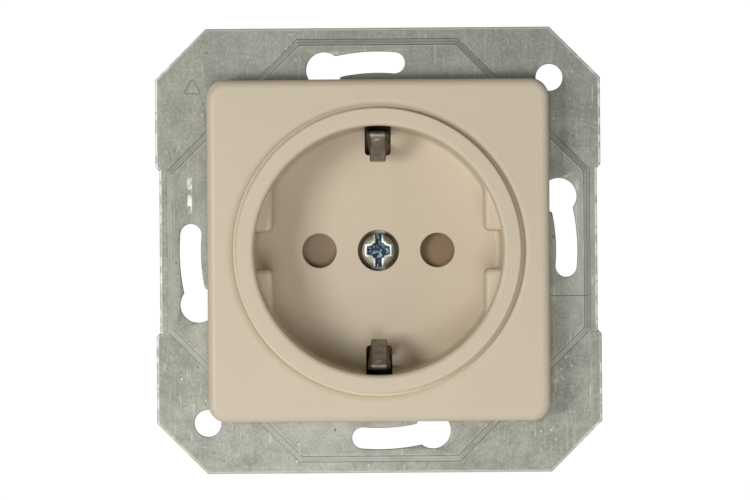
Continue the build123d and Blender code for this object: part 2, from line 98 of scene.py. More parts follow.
# ---------------------------------------------------------------- finishes
class Finish:
    """A node material built up step by step on object coordinates in metres."""

    def __init__(self, name, colour, roughness, metallic=0.0):
        self.name = name
        self.material = bpy.data.materials.new(name)
        self.material.use_nodes = True
        self.tree = self.material.node_tree
        self.shader = self.tree.nodes["Principled BSDF"]
        self.shader.inputs["Metallic"].default_value = metallic
        self.shader.inputs["Base Color"].default_value = (*colour, 1)
        self.shader.inputs["Roughness"].default_value = roughness
        self.place = self.tree.nodes.new("ShaderNodeTexCoord").outputs["Object"]
        self.height = None

    def node(self, kind, **values):
        made = self.tree.nodes.new(kind)
        for key, value in values.items():
            setattr(made, key, value)
        return made

    def link(self, source, target):
        self.tree.links.new(source, target)

    def stretched(self, scale, turn=(0, 0, 0), shift=(0, 0, 0)):
        """Object coordinates scaled, and turned, for a pattern with a direction."""
        mapping = self.node("ShaderNodeMapping")
        mapping.inputs["Scale"].default_value = scale
        mapping.inputs["Rotation"].default_value = turn
        mapping.inputs["Location"].default_value = shift
        self.link(self.place, mapping.inputs["Vector"])
        return mapping.outputs["Vector"]

    def noise(self, scale, detail=3.0, roughness=0.55, place=None):
        made = self.node("ShaderNodeTexNoise")
        made.inputs["Scale"].default_value = scale
        made.inputs["Detail"].default_value = detail
        made.inputs["Roughness"].default_value = roughness
        self.link(place or self.place, made.inputs["Vector"])
        return made.outputs["Fac"]

    def cells(self, scale, feature="F1", place=None):
        made = self.node("ShaderNodeTexVoronoi", feature=feature)
        made.inputs["Scale"].default_value = scale
        self.link(place or self.place, made.inputs["Vector"])
        return made.outputs["Distance"]

    def parts(self):
        """The x, y and z of object coordinates."""
        made = self.node("ShaderNodeSeparateXYZ")
        self.link(self.place, made.inputs[0])
        return made.outputs

    def near(self, value, middle, reach):
        """1 at middle, falling to 0 a little beyond reach on either side."""
        made = self.node("ShaderNodeMath", operation="SUBTRACT")
        self.link(value, made.inputs[0])
        made.inputs[1].default_value = middle
        size = self.node("ShaderNodeMath", operation="ABSOLUTE")
        self.link(made.outputs[0], size.inputs[0])
        return self.spread(size.outputs[0], reach, reach * 1.35, 1.0, 0.0)

    def spread(self, value, low, high, to_low=0.0, to_high=1.0):
        """value taken from low..high to to_low..to_high, and held at the ends."""
        made = self.node("ShaderNodeMapRange")
        for key, number in (("From Min", low), ("From Max", high), ("To Min", to_low), ("To Max", to_high)):
            made.inputs[key].default_value = number
        self.link(value, made.inputs["Value"])
        return made.outputs["Result"]

    def times(self, a, b):
        made = self.node("ShaderNodeMath", operation="MULTIPLY")
        for k, value in enumerate((a, b)):
            if isinstance(value, (int, float)):
                made.inputs[k].default_value = value
            else:
                self.link(value, made.inputs[k])
        return made.outputs[0]

    def tint(self, share, colour):
        """Mix colour over what the surface has so far, by share."""
        made = self.node("ShaderNodeMix", data_type="RGBA")
        before = self.shader.inputs["Base Color"]
        if before.links:
            self.link(before.links[0].from_socket, made.inputs[6])
        else:
            made.inputs[6].default_value = before.default_value
        made.inputs[7].default_value = (*colour, 1)
        self.link(share, made.inputs[0])
        self.link(made.outputs[2], before)

    def rough(self, value, low, high):
        self.link(self.spread(value, 0.0, 1.0, low, high), self.shader.inputs["Roughness"])

    def relief(self, value, depth):
        """Stack a bump of that depth in metres on what is there."""
        bump = self.node("ShaderNodeBump")
        bump.inputs["Distance"].default_value = depth
        if self.height:
            self.link(self.height, bump.inputs["Normal"])
        self.link(value, bump.inputs["Height"])
        self.height = bump.outputs["Normal"]
        self.link(self.height, self.shader.inputs["Normal"])


def moulded_plastic(name, colour, dark, pale, roughness):
    """Injection-moulded plastic: a fine satin grain, faint clouding, pale dust and dark specks."""
    made = Finish(name, colour, roughness)
    cloud = made.noise(42.0, 3.0)
    made.tint(made.spread(cloud, 0.38, 0.72, 0.0, 0.4), dark)
    dust = made.noise(900.0, 2.0)
    made.tint(made.spread(dust, 0.66, 0.80, 0.0, 0.30), pale)
    speck = made.cells(210.0)
    made.tint(made.spread(speck, 0.0, 0.045, 0.30, 0.0), tuple(c * 0.5 for c in colour))
    made.rough(cloud, roughness - 0.05, roughness + 0.07)
    made.relief(made.noise(5200.0, 2.0), 0.000004)
    made.relief(made.noise(420.0, 2.0), 0.000007)
    return made


SCRATCHES = ((1.0, 62.0, 0.69), (1.3, -35.0, 0.70), (1.6, 12.0, 0.71))  # fineness, degrees, how rare


def zinc_steel(name, colour, dark, pale, roughness, metallic=0.6):
    """Galvanised sheet: fine grain, spangle mottling, rolling streaks, bright nicks in clusters, dark pits
    and scratches three ways. A point attribute makes it paler, part burnish and part painted light (over 0),
    adds patches of painted highlight (over 1.2) or painted shade (under 0)."""
    made = Finish(name, colour, roughness, metallic)
    bright = tuple(min(1.0, c * 1.9) for c in colour)
    mottle = made.noise(330.0, 5.0, 0.65)
    made.tint(made.spread(mottle, 0.36, 0.62, 0.0, 0.60), dark)
    patch = made.noise(46.0, 4.0, 0.55)
    made.tint(made.spread(patch, 0.47, 0.68, 0.0, 0.50), pale)
    grain = made.noise(2600.0, 2.0, 0.6)
    made.tint(made.spread(grain, 0.50, 0.66, 0.0, 0.34), pale)
    made.tint(made.spread(grain, 0.34, 0.50, 0.34, 0.0), dark)
    streak = made.noise(60.0, 3.0, 0.6, made.stretched((26.0, 26.0, 1.0), (0, radians(3), 0)))
    made.tint(made.spread(streak, 0.57, 0.70, 0.0, 0.30), pale)
    for way, turn, low in SCRATCHES:
        run = made.stretched((46.0, 46.0, 2.4), (0, radians(turn), 0), (way, 0.3, way))
        made.tint(made.spread(made.noise(60.0 * way, 2.0, 0.6, run), low, low + 0.05, 0.0, 0.75), bright)
    clusters = made.spread(made.noise(120.0, 2.0), 0.52, 0.62)
    nick = made.spread(made.cells(760.0), 0.05, 0.17, 0.9, 0.0)
    made.tint(made.times(nick, clusters), bright)
    elsewhere = made.stretched((1, 1, 1), (0, 0, 0), (0.7, 0, 0.2))
    pits = made.spread(made.noise(150.0, 2.0, 0.5, elsewhere), 0.50, 0.60)
    between_nicks = made.stretched((1, 1, 1), (0, 0, 0), (0.31, 0, 0.17))
    pit = made.spread(made.cells(540.0, "F1", between_nicks), 0.06, 0.15, 0.85, 0.0)
    made.tint(made.times(pit, pits), tuple(c * 0.30 for c in colour))
    wear_and_painted_light = made.node("ShaderNodeAttribute", attribute_name="wear_and_painted_light").outputs["Fac"]
    uneven = made.noise(420.0, 3.0)
    # paler over 0, part burnish and part painted light; painted shade under 0; painted highlight patches over
    # 1.2
    made.tint(made.times(made.spread(wear_and_painted_light, 0.0, 1.0), made.spread(uneven, 0.34, 0.52, 0.75, 1.0)), bright)
    made.tint(made.spread(wear_and_painted_light, -1.0, 0.0, 0.92, 0.0), tuple(c * 0.22 for c in colour))
    rim_highlight_patches = made.spread(made.noise(620.0, 3.0), 0.47, 0.54)
    made.tint(made.times(made.spread(wear_and_painted_light, 1.2, 2.0), rim_highlight_patches), (0.95, 0.95, 0.90))
    made.link(made.spread(wear_and_painted_light, 0.0, 1.0, metallic, 0.05), made.shader.inputs["Metallic"])
    made.rough(mottle, roughness - 0.12, roughness + 0.12)
    made.relief(mottle, 0.00002)
    made.relief(grain, 0.000008)
    made.relief(streak, 0.00001)
    return made


def small_metal(name, colour, dark, roughness, metallic=1.0, scale=700.0):
    """A small plated or bare metal part: handled and slightly stained, with fine tool marks. A point
    attribute paints a highlight (over 0), or painted shade with painted bluish glints (under 0)."""
    made = Finish(name, colour, roughness, metallic)
    stain = made.noise(scale, 4.0, 0.6)
    made.tint(made.spread(stain, 0.45, 0.70, 0.0, 0.8), dark)
    wear_and_painted_light = made.node("ShaderNodeAttribute", attribute_name="wear_and_painted_light").outputs["Fac"]
    # painted highlight over 0, and painted shade with painted bluish glints under 0
    made.tint(made.spread(wear_and_painted_light, 0.0, 1.0), (0.90, 0.95, 0.95))
    sunk = made.spread(wear_and_painted_light, -1.0, 0.0, 1.0, 0.0)
    made.tint(sunk, (0.018, 0.032, 0.045))
    painted_glint = made.spread(made.noise(scale * 2.4, 2.0), 0.50, 0.62, 0.0, 0.8)
    made.tint(made.times(sunk, painted_glint), (0.30, 0.50, 0.62))
    made.rough(stain, roughness - 0.08, roughness + 0.18)
    made.relief(made.noise(scale * 3.0, 2.0), 0.000006)
    return made


cover_plastic = moulded_plastic(
    "cover_plastic", (0.705, 0.605, 0.455), dark=(0.655, 0.555, 0.405), pale=(0.78, 0.71, 0.59), roughness=0.42)
base_plastic = moulded_plastic(
    "base_plastic", (0.060, 0.048, 0.038), dark=(0.040, 0.030, 0.024), pale=(0.13, 0.12, 0.10), roughness=0.42)
# darker brown than the cover: painted shade for the pin holes the shutter lies behind
shutter_plastic = moulded_plastic(
    "shutter_plastic", (0.29, 0.205, 0.11), dark=(0.24, 0.16, 0.075), pale=(0.40, 0.31, 0.19), roughness=0.45)
galvanised_steel = zinc_steel(
    "galvanised_steel", (0.32, 0.325, 0.275), dark=(0.22, 0.225, 0.185), pale=(0.45, 0.455, 0.40),
    roughness=0.46)
zinc_screw = small_metal("zinc_screw", (0.33, 0.32, 0.235), (0.23, 0.22, 0.15), 0.42, 0.65)
clip_metal = small_metal("clip_metal", (0.37, 0.335, 0.27), (0.20, 0.165, 0.12), 0.44, 0.75)
contact_bronze = small_metal("contact_bronze", (0.72, 0.50, 0.28), (0.50, 0.31, 0.16), 0.35)
spring_steel = small_metal("spring_steel", (0.45, 0.45, 0.46), (0.30, 0.30, 0.30), 0.35)

# two marks on the plate's front face: a worn dash left of the cover, and a scored line right of it
across, deep, up = galvanised_steel.parts()
in_front = galvanised_steel.spread(deep, -0.0016, -0.0014, 1.0, 0.0)


def front_mark(x, half_x, z, half_z):
    """1 on the front face within half_x of x and half_z of z."""
    field = galvanised_steel.times(
        galvanised_steel.near(across, x, half_x), galvanised_steel.near(up, z, half_z))
    return galvanised_steel.times(field, in_front)


broken = galvanised_steel.spread(galvanised_steel.noise(900.0, 2.0), 0.40, 0.56)
dash = front_mark(-0.0300, 0.00030, 0.0089, 0.0022)
galvanised_steel.tint(galvanised_steel.times(dash, broken), (0.85, 0.85, 0.80))
scored = front_mark(0.0304, 0.0029, -0.0074, 0.00006)
galvanised_steel.tint(galvanised_steel.times(scored, 0.8), (0.09, 0.09, 0.075))

# painted reflection: the clips' flanks tinted brown, as the cream plastic they face would tint them, from 1 mm
# out
across, _, _ = clip_metal.parts()
flank = clip_metal.node("ShaderNodeMath", operation="ABSOLUTE")
clip_metal.link(across, flank.inputs[0])
clip_metal.tint(clip_metal.spread(flank.outputs[0], 0.0010, 0.0012, 0.0, 0.9), (0.13, 0.08, 0.045))

FINISHES = {
    made.name: made.material
    for made in (
        cover_plastic, base_plastic, shutter_plastic, galvanised_steel,
        zinc_screw, clip_metal, contact_bronze, spring_steel,
    )
}

# every CAD node takes the finish of its material slot
SLOTS = {part["node"]: part["material_slot"] for part in frame["record"]["subparts"]}
for node, slot in SLOTS.items():
    frame["nodes"][node].data.materials.clear()
    frame["nodes"][node].data.materials.append(FINISHES[slot])


# ---------------------------------------------------------------- surfaces
def polar(radius, angle, centre=(0.0, 0.0)):
    """Points centre + radius (cos angle, sin angle), one for each angle."""
    return np.stack([centre[0] + radius * np.cos(angle), centre[1] + radius * np.sin(angle)], -1)


def circle(radius, count=72, centre=(0.0, 0.0)):
    """A whole circle, run round from the right by equal angles."""
    return polar(radius, np.arange(count) * 2 * pi / count, centre)


def ease(value, low, high):
    """0 below low, 1 above high, and 3 t^2 - 2 t^3 between them."""
    t = np.clip((value - low) / (high - low), 0, 1)
    return t * t * (3 - 2 * t)


def rounded(corners, radius, steps=5):
    """A polygon whose corners are arcs: each arc is about the point on the corner's
    bisector at radius / sin(half angle), from one tangent point round to the next."""
    at = np.array(corners, float)
    radius = np.broadcast_to(np.asarray(radius, float), len(at))[:, None]
    back = np.roll(at, 1, 0) - at
    ahead = np.roll(at, -1, 0) - at
    back /= np.linalg.norm(back, axis=1, keepdims=True)
    ahead /= np.linalg.norm(ahead, axis=1, keepdims=True)
    half = np.arccos(np.clip((back * ahead).sum(1), -1, 1))[:, None] / 2
    middle = back + ahead
    middle /= np.linalg.norm(middle, axis=1, keepdims=True)
    centre = at + middle * radius / np.sin(half)
    start = at + back * radius / np.tan(half) - centre
    end = at + ahead * radius / np.tan(half) - centre
    first = np.arctan2(start[:, 1], start[:, 0])
    sweep = np.arctan2(start[:, 0] * end[:, 1] - start[:, 1] * end[:, 0], (start * end).sum(1))
    angle = first[:, None] + sweep[:, None] * np.linspace(0, 1, steps + 1)
    arc = np.stack([np.cos(angle), np.sin(angle)], -1) * radius[:, :, None] + centre[:, None]
    return arc.reshape(-1, 2)


def inset(outline, distance):
    """The outline moved inwards by distance, each corner along its mitre. A hole grows by a negative one."""
    along = np.roll(outline, -1, 0) - outline
    along /= np.linalg.norm(along, axis=1, keepdims=True)
    inward = np.stack([-along[:, 1], along[:, 0]], 1)
    before = np.roll(inward, 1, 0)
    return outline + distance * (before + inward) / (1 + (before * inward).sum(1, keepdims=True))


def at_depth(outline, depth):
    """Front-view points (x, z) put at depth y."""
    return np.stack([outline[..., 0], np.broadcast_to(depth, outline.shape[:-1]), outline[..., 1]], -1)


def lofted(rows, closed=True):
    """Quads between each row of points and the next, round to the start if closed."""
    rows = np.array(rows, float)
    count, width = rows.shape[:2]
    index = np.arange(count * width).reshape(count, width)
    near = index if closed else index[:, :-1]
    far = np.roll(index, -1, 1) if closed else index[:, 1:]
    quads = np.stack([near[:-1], far[:-1], far[1:], near[1:]], -1).reshape(-1, 4)
    return rows.reshape(-1, 3), quads


def filled(outlines, place, grain=0.0):
    """The flat region inside the first outline and outside the rest, as triangles: kept are those
    whose middle has an odd number of outline edges to its right. place turns (u, v) into points."""
    corners = np.concatenate(outlines)
    ends = np.cumsum([0] + [len(outline) for outline in outlines])
    edges = np.concatenate([
        np.stack([np.arange(a, b), np.roll(np.arange(a, b), -1)], 1) for a, b in zip(ends, ends[1:])
    ])
    tail, head = corners[edges[:, 0]], corners[edges[:, 1]]

    def inside(points):
        rise = (tail[:, 1] > points[:, None, 1]) != (head[:, 1] > points[:, None, 1])
        slope = (head[:, 0] - tail[:, 0]) / np.where(head[:, 1] == tail[:, 1], 1.0, head[:, 1] - tail[:, 1])
        crossing = tail[:, 0] + (points[:, None, 1] - tail[:, 1]) * slope
        return (rise & (points[:, None, 0] < crossing)).sum(1) % 2 == 1

    points = corners
    if grain:
        low, high = corners.min(0), corners.max(0)
        u, v = np.meshgrid(np.arange(low[0], high[0], grain), np.arange(low[1], high[1], grain * 0.87))
        u = u + (np.arange(len(u)) % 2)[:, None] * grain / 2
        spots = np.stack([u.ravel(), v.ravel()], 1)
        spots = spots[inside(spots)]
        side = head - tail
        share = np.clip(((spots[:, None] - tail) * side).sum(2) / (side ** 2).sum(1), 0, 1)
        gap = np.linalg.norm(spots[:, None] - tail - share[:, :, None] * side, axis=2).min(1)
        points = np.concatenate([corners, spots[gap > grain * 0.45]])
    found = delaunay_2d_cdt(points.tolist(), edges.tolist(), [], 0, 1e-7)
    flat = np.array([tuple(point) for point in found[0]])
    triangles = np.array(found[2])
    return place(flat), triangles[inside(flat[triangles].mean(1))]


def face_on(depth):
    """A placing of front-view outlines at depth y."""
    return lambda flat: at_depth(flat, depth)


def edge_of(outline, front, back, roll_front, roll_back=0.0, inward=1, steps=5):
    """The edge of a sheet along an outline: in from it by roll (1 - sin t) and back by roll (1 - cos t)
    over a quarter turn at the front, and the same mirrored at the back. inward is -1 round a hole."""
    turn = np.linspace(0, pi / 2, steps + 1)
    waves = list(zip(np.sin(turn), np.cos(turn)))
    rows = [
        at_depth(inset(outline, inward * roll_front * (1 - sin_t)), front + roll_front * (1 - cos_t))
        for sin_t, cos_t in waves
    ]
    if roll_back:
        rows += [
            at_depth(inset(outline, inward * roll_back * (1 - cos_t)), back - roll_back * (1 - sin_t))
            for sin_t, cos_t in waves
        ]
    else:
        rows.append(at_depth(outline, back))
    return lofted(rows)


def turned(profile, count=72, centre=(0.0, 0.0)):
    """A body of revolution: circles of each profile radius at its depth. A radius of 0 closes a pole."""
    return lofted([at_depth(circle(radius, count, centre), depth) for radius, depth in profile])


def arc_between(start, end, centre, steps=6):
    """A quarter-ellipse of profile points from start to end whose axes meet at centre."""
    turn = np.linspace(0, pi / 2, steps + 1)[:, None]
    start, end, centre = (np.array(point, float) for point in (start, end, centre))
    return [tuple(point) for point in centre + (start - centre) * np.cos(turn) + (end - centre) * np.sin(turn)]


def stands_for(made, node, body):
    """Parent a piece to a body's empty and hide the CAD node it stands for."""
    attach(made, body)
    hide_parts(node)


def linked(name, mesh, smooth):
    """Put a mesh in the scene as an object, shaded smooth but for edges sharper than smooth degrees."""
    mesh.polygons.foreach_set("use_smooth", np.ones(len(mesh.polygons), bool))
    mesh.set_sharp_from_angle(angle=radians(smooth))
    made = bpy.data.objects.new(name, mesh)
    bpy.context.scene.collection.objects.link(made)
    return made


def piece(name, surfaces, node, body="insert", smooth=38.0, wear_and_painted_light=None, shade_lining=None):
    """Weld surfaces given in millimetres into one mesh in metres, for a CAD node. Edges sharper than
    smooth degrees stay sharp. An optional point function gives each point its wear and painted light; an
    optional face function gives each face, from its middle, painted shade: 1 for dark base plastic, 2 for clip
    metal."""
    points, faces, count = [], [], 0
    for spots, corners in surfaces:
        points.append(spots)
        faces += (corners + count).tolist()
        count += len(spots)
    mesh = bpy.data.meshes.new(name)
    mesh.from_pydata((np.concatenate(points) * MM).tolist(), [], faces)
    work = bmesh.new()
    work.from_mesh(mesh)
    bmesh.ops.remove_doubles(work, verts=work.verts, dist=WELD)
    bmesh.ops.dissolve_degenerate(work, edges=work.edges, dist=1e-7)
    bmesh.ops.recalc_face_normals(work, faces=work.faces)
    work.to_mesh(mesh)
    work.free()
    made = linked(name, mesh, smooth)
    weighted = made.modifiers.new("even_normals", "WEIGHTED_NORMAL")
    weighted.keep_sharp = True
    weighted.mode = "FACE_AREA"
    mesh.materials.append(FINISHES[SLOTS[node]])
    if wear_and_painted_light:
        spots = np.empty(len(mesh.vertices) * 3)
        mesh.vertices.foreach_get("co", spots)
        worn_and_lit = mesh.attributes.new("wear_and_painted_light", "FLOAT", "POINT")
        worn_and_lit.data.foreach_set("value", wear_and_painted_light(spots.reshape(-1, 3) / MM).astype(np.float32))
    # painted shade: faces in the slits and in the screw's well take a darker finish
    if shade_lining:
        mesh.materials.append(FINISHES["base_plastic"])
        mesh.materials.append(FINISHES["clip_metal"])
        middles = np.empty(len(mesh.polygons) * 3)
        mesh.polygons.foreach_get("center", middles)
        which_finish = shade_lining(middles.reshape(-1, 3) / MM).astype(np.int32)
        mesh.polygons.foreach_set("material_index", which_finish)
    stands_for(made, node, body)


# ---------------------------------------------------------------- steel support plate
RIM_FRONT = -1.0
RIM_ROLL = 0.3
PANEL_RISE = 0.9
PANEL_FRONT = RIM_FRONT - PANEL_RISE
PANEL_BACK = -PANEL_RISE
HOLE_ROLL = 0.12
# the octagon at the foot of the pressed step: half width and |x| + |z|, how far in its top lies, and its back
FOOT_HALF, FOOT_TOTAL = 33.7, 46.5
STEP_RUN, STEP_RUN_CUT = 0.95, 1.3
CREEP = 0.399
OPENING = 21.6
NOTCH, NOTCH_OUT = 3.4, 22.7


def octagon(half, total):
    """A square of that half width cut where |x| + |z| = total, with its corners eased."""
    cut = total - half
    corners = [(half, -cut), (half, cut), (cut, half), (-cut, half)]
    corners += [(-x, -z) for x, z in corners]
    return rounded(corners, 0.7, 4)


def keyhole(start):
    """A slot between arcs at middle - half and middle + half, with a round end and a wider one. The arcs
    meet the wide end where cos(angle) = (arc^2 + middle^2 - end^2) / (2 arc middle)."""
    middle, half, end = 30.0, 1.7, 2.85
    narrow, wide = radians(174.8 + start), radians(196.4 + start)
    outer, inner = middle + half, middle - half
    meet_outer, meet_inner = (
        acos((arc ** 2 + middle ** 2 - end ** 2) / (2 * arc * middle)) for arc in (outer, inner))
    first = atan2(-outer * np.sin(meet_outer), outer * np.cos(meet_outer) - middle)
    last = atan2(-inner * np.sin(meet_inner), inner * np.cos(meet_inner) - middle) + 2 * pi
    return np.concatenate([
        polar(outer, np.linspace(narrow, wide - meet_outer, 13)[:-1]),
        polar(end, wide + np.linspace(first, last, 33)[:-1], polar(middle, np.array(wide))),
        polar(inner, np.linspace(wide - meet_inner, narrow, 13)[:-1]),
        polar(half, narrow + np.linspace(-pi, 0, 17)[:-1], polar(middle, np.array(narrow))),
    ])


def round_with_notches(radius, half, reach, steps):
    """A circle with a notch of that half width above and below, out to |z| = reach."""
    lean = asin(half / radius)
    side = np.linspace(-pi / 2 + lean, pi / 2 - lean, steps)
    notch = np.array([(half, reach), (-half, reach)])
    return np.concatenate([polar(radius, side), notch, polar(radius, side + pi), -notch])


def groove(outline, front, half_width, depth):
    """An engraved line: down to depth at the outline and back up at half_width each side."""
    across_line = ((-half_width, 0.0), (-half_width * 0.4, depth), (half_width * 0.4, depth), (half_width, 0.0))
    return lofted([at_depth(inset(outline, out), front + down) for out, down in across_line])


plate_corners = np.array([
    (27.4, -35.5), (35.5, -27.4), (35.5, -13.5), (34.9, -12.9),
    (34.9, 12.9), (35.5, 13.5), (35.5, 27.4), (27.4, 35.5),
])
plate_corners = np.concatenate([plate_corners, -plate_corners])
plate_outline = rounded(plate_corners, 0.25, 3)
rim_edge = rounded(inset(plate_corners, 0.42), 0.06, 3)
wall_holes = [circle(2.15, 48, (side * 27.4, side * 27.4)) for side in (1, -1)]
panel_holes = [keyhole(90 * quarter) for quarter in range(4)]
panel_holes += [circle(1.7, 32, (x, z)) for x in (-17.2, 17.2) for z in (-17.2, 17.2)]
panel_holes.append(round_with_notches(OPENING, NOTCH, NOTCH_OUT, 49))
top_mark = rounded([(-30.9, 25.2), (-28.1, 25.2), (-29.5, 27.6)], 0.2, 3)
MARK_HALF, MARK_DEPTH = 0.12, 0.07

# shares of the step that get a row of points, and the press there, which starts and ends flat
step = np.concatenate([[-0.34, -0.20, -0.07], np.linspace(0, 1, 9), [1.08, 1.22, 1.36]])
level = np.clip(step, 0, 1)
press = level - 0.72 * np.sin(2 * pi * level) / (2 * pi)


def press_row(share, creep=0.0):
    """The octagon at a share of the way from the pressed step's foot (0) to its top (1), moved in by creep."""
    return octagon(FOOT_HALF - creep - STEP_RUN * share, FOOT_TOTAL - creep * sqrt(2) - STEP_RUN_CUT * share)


rim_holes = [inset(hole, -HOLE_ROLL) for hole in wall_holes]
rolled_holes = [inset(hole, -HOLE_ROLL) for hole in panel_holes]
plate_parts = [
    edge_of(plate_outline, RIM_FRONT, 0.0, RIM_ROLL, HOLE_ROLL),
    lofted([at_depth(inset(plate_outline, RIM_ROLL), RIM_FRONT), at_depth(rim_edge, RIM_FRONT)]),
    filled([rim_edge, press_row(step[0]), inset(top_mark, -MARK_HALF)] + rim_holes, face_on(RIM_FRONT)),
    groove(top_mark, RIM_FRONT, MARK_HALF, MARK_DEPTH),
    filled([inset(top_mark, MARK_HALF)], face_on(RIM_FRONT)),
    filled([inset(plate_outline, HOLE_ROLL), press_row(step[0], CREEP)] + rim_holes, face_on(0.0)),
]
for front, creep in ((RIM_FRONT, 0.0), (0.0, CREEP)):
    rows = [at_depth(press_row(share, creep), front - PANEL_RISE * rise) for share, rise in zip(step, press)]
    plate_parts.append(lofted(rows))
    plate_parts.append(filled([press_row(step[-1], creep)] + rolled_holes, face_on(front - PANEL_RISE)))
for holes, front, back in ((wall_holes, RIM_FRONT, 0.0), (panel_holes, PANEL_FRONT, PANEL_BACK)):
    plate_parts += [edge_of(hole, front, back, HOLE_ROLL, HOLE_ROLL, -1, 3) for hole in holes]


def sheet_wear_and_painted_light(spots):
    """Paler on the pressed step, part burnish and part painted light on its slope, with painted shade lines at
    its foot and top and a painted highlight line just inside its top, from the share of the step: the smaller
    of (FOOT_HALF - max(|x|, |z|)) / STEP_RUN and the same for |x| + |z|. Painted highlight on the rolled outer
    edge."""
    x, y, z = np.abs(spots[:, 0]), spots[:, 1], np.abs(spots[:, 2])
    share = np.minimum((FOOT_HALF - np.maximum(x, z)) / STEP_RUN, (FOOT_TOTAL - x - z) / STEP_RUN_CUT)
    worn_and_lit = ease(share, 0.08, 0.14) * (1 - ease(share, 0.86, 0.92))
    # a painted highlight line just inside the step's top, painted shade lines along its foot and top creases
    for row, strength in ((1.22, 0.30), (0.0, -0.9), (1.0, -0.8)):
        worn_and_lit = worn_and_lit + strength * (np.abs(share - row) < 0.03)
    # painted highlight on the rolled outer edge, in white patches at the left and right
    rim = (x > np.where(z < 12.95, 34.58, 35.18)) | (z > 35.18)
    return (y < -0.95) * worn_and_lit + (y < -0.6) * rim * np.where(x > 34.5, 2.2, 1.0)


piece("support_sheet", plate_parts, "support_plate", wear_and_painted_light=sheet_wear_and_painted_light)

# ---------------------------------------------------------------- moulded cover
COVER_FRONT, COVER_INSIDE, COVER_BACK = -8.6, -6.6, -1.95
COVER_HALF = 27.1
COVER_ROLL, COVER_FOOT_ROLL = 1.3, 0.15
COVER_WALL = 1.8
SEAT_FRONT = COVER_FRONT + 0.4
SEAT = 23.05
COVE = [(24.1, 0.0), (23.75, 0.03), (23.45, 0.10), (23.22, 0.20), (23.08, 0.32), (SEAT, 0.4)]
AROUND = 180

square = np.array([(1, -1), (1, 1), (-1, 1), (-1, -1)])
cover_outline = rounded(COVER_HALF * square, 3.0, 14)
cover_inner = inset(cover_outline, COVER_WALL)
cup_hole = round_with_notches(21.4, 3.15, 22.45, 61)
piece("cover_moulding", [
    edge_of(cover_outline, COVER_FRONT, COVER_BACK, COVER_ROLL, COVER_FOOT_ROLL, 1, 9),
    filled([inset(cover_outline, COVER_ROLL), circle(COVE[0][0], AROUND)], face_on(COVER_FRONT)),
    turned([(radius, COVER_FRONT + down) for radius, down in COVE], AROUND),
    filled([circle(SEAT, AROUND), cup_hole], face_on(SEAT_FRONT)),
    lofted([at_depth(cup_hole, depth) for depth in (SEAT_FRONT, COVER_INSIDE)]),
    filled([cover_inner, cup_hole], face_on(COVER_INSIDE)),
    lofted([at_depth(cover_inner, depth) for depth in (COVER_INSIDE, COVER_BACK)]),
    filled([inset(cover_outline, COVER_FOOT_ROLL), cover_inner], face_on(COVER_BACK)),
], "cover_plate")

# ---------------------------------------------------------------- cup with the plug recess
SLIT, SLIT_IN, SLIT_OUT, SLIT_CORNER = 2.1, 15.3, 21.4, 0.6
CHANNEL, CHANNEL_OUT = 3.0, 22.3
FLANGE_FRONT, FLOOR, UNDER, CUP_BACK = -10.0, 7.5, 9.1, 12.5
RIM, FOOT_RADIUS, FLOOR_ROLL = 19.75, 19.6, 0.7
BORE, SHELL = 19.7, 21.2
LIP_OUT, LIP_BACK = 22.55, -8.2
PIN_HALF_PITCH, PIN_HOLE, PIN_ROLL = 9.5, 2.75, 0.18
WELL_MOUTH, WELL, WELL_DEEP, STEM_HOLE, BOSS = 3.42, 3.3, 2.4, 1.9, 4.9
STAKE, STAKE_OUT = 1.2, 11.5
SLIT_END = rounded([(SLIT, 20.0), (SLIT, SLIT_IN), (-SLIT, SLIT_IN), (-SLIT, 20.0)], SLIT_CORNER, 5)[6:18]


def ring_turn(radius, half):
    """Angles once round a circle, with points where it crosses x = -half and x = half above and below."""
    lean = asin(half / radius)
    side = np.linspace(-pi / 2 + lean, pi / 2 - lean, 101)
    over = np.linspace(pi / 2 - lean, pi / 2 + lean, 5)[1:-1]
    return side, over


def whole_ring(radius, depth, half=SLIT):
    """All the points of ring_turn at a radius and depth."""
    side, over = ring_turn(radius, half)
    return at_depth(polar(radius, np.concatenate([side, over, side + pi, over + pi])), depth)


def half_ring(radius, left, half=SLIT):
    """The right-hand or left-hand run of ring_turn at a radius."""
    side, _ = ring_turn(radius, half)
    return polar(radius, side + (pi if left else 0.0))


def with_slots(radius, half, reach):
    """A circle whose top and bottom are replaced by square ends of that half width, at |z| = reach."""
    end = SLIT_END if reach == SLIT_IN else np.array([(half, reach), (-half, reach)])
    return np.concatenate([half_ring(radius, False, half), end, half_ring(radius, True, half), -end])


def bridged(radius, half, reach, depth, side):
    """The flat end above or below a circle: its arc within |x| < half, and square corners at |z| = reach."""
    meet = sqrt(radius ** 2 - half ** 2)
    over = polar(radius, ring_turn(radius, half)[1])
    block = np.concatenate([[(half, meet)], over, [(-half, meet), (-half, reach), (half, reach)]])
    return filled([block * side], face_on(depth))


def wall_radius(depth):
    """The recess wall narrows evenly from RIM at the flange to FOOT_RADIUS at the floor."""
    return RIM - (RIM - FOOT_RADIUS) * (depth - FLANGE_FRONT) / (FLOOR - FLANGE_FRONT)


def on_cheek(x, side):
    """A placing of (depth, |z|) outlines on a slit's cheek at x."""
    return lambda flat: np.stack([np.full(len(flat), x), flat[:, 0], side * flat[:, 1]], 1)


